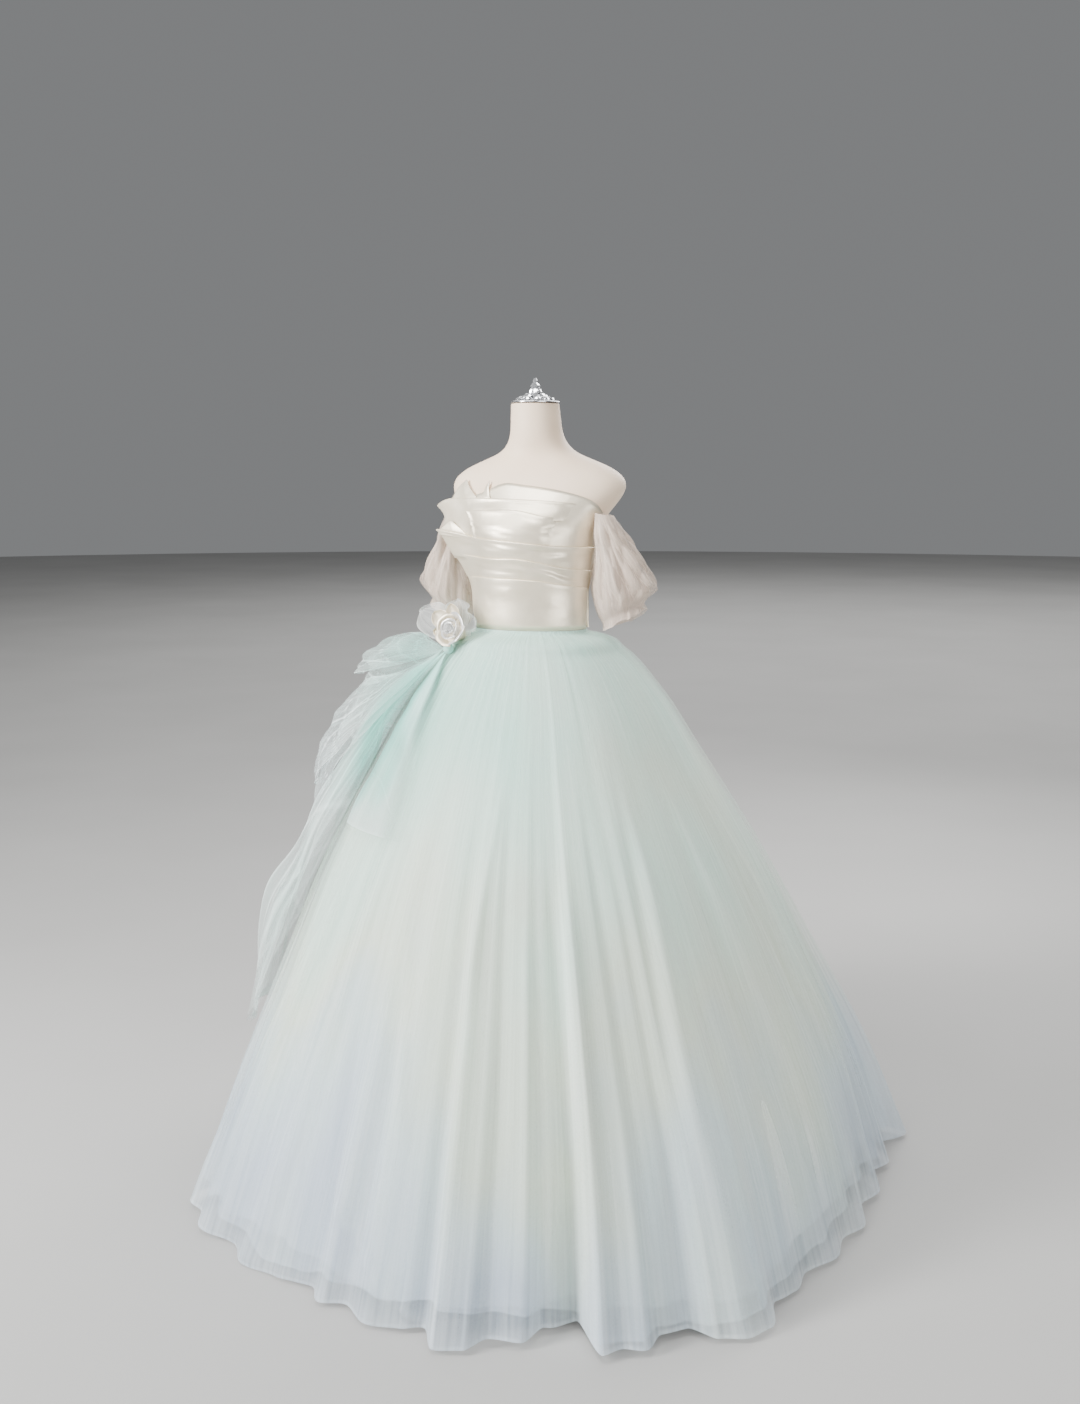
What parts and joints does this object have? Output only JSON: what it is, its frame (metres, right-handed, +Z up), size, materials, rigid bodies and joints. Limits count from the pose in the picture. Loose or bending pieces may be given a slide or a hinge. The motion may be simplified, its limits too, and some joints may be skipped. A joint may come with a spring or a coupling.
{
  "type": "ball gown on dress form",
  "caption": "Strapless ball gown with a pleated satin bodice, puff sleeves, a full gathered tulle skirt and a hip rose with draped tulle, worn on a limbless dress form with a round stand.",
  "frame": {"origin": "middle of the underside of the round stand plate, on the floor", "axes": "+Z up, the gown faces -Y, the wearer's left is +X"},
  "size_m": [1.4587, 1.6077, 1.6371],
  "materials": {
    "form": "smooth stretched cover",
    "satin": "duchess satin",
    "tulle": "soft tulle",
    "lining": "layered underskirt",
    "sleeve": "gathered tulle",
    "mint": "crisp tulle",
    "chrome": "polished",
    "white": "satin paint"
  },
  "bodies": {
    "root": {"form_torso": "form", "neck_cap": "chrome", "neck_knob": "chrome", "stand_plate": "white", "stand_pole": "chrome", "bodice_front": "satin", "bodice_back_left": "satin", "bodice_back_right": "satin", "bodice_pleat_1": "satin", "bodice_pleat_2": "satin", "bodice_pleat_3": "satin", "bodice_pleat_4": "satin", "bodice_pleat_5": "satin", "bodice_point_1": "satin", "bodice_point_2": "satin", "bodice_point_3": "satin", "skirt_tulle_1": "tulle", "skirt_tulle_2": "tulle", "skirt_tulle_3": "tulle", "skirt_tulle_4": "tulle", "skirt_tulle_5": "tulle", "skirt_tulle_6": "tulle", "skirt_tulle_7": "tulle", "skirt_tulle_8": "tulle", "underskirt_1": "lining", "underskirt_2": "lining", "underskirt_3": "lining", "underskirt_4": "lining", "underskirt_5": "lining", "underskirt_6": "lining", "underskirt_7": "lining", "underskirt_8": "lining", "sleeve_left": "sleeve", "sleeve_right": "sleeve", "flower_backing": "satin", "rose_petal_1_1": "satin", "rose_petal_1_2": "satin", "rose_petal_2_1": "satin", "rose_petal_2_2": "satin", "rose_petal_2_3": "satin", "rose_petal_3_1": "satin", "rose_petal_3_2": "satin", "rose_petal_3_3": "satin", "rose_petal_3_4": "satin", "cream_petal_1": "satin", "cream_petal_2": "satin", "cream_petal_3": "satin", "organza_petal_1": "mint", "organza_petal_2": "mint", "organza_petal_3": "mint", "cascade_knot": "mint", "cascade_upper_swag": "mint", "cascade_lower_swag": "mint", "cascade_tail": "mint", "cascade_front_fall": "mint"}
  },
  "joints": []
}
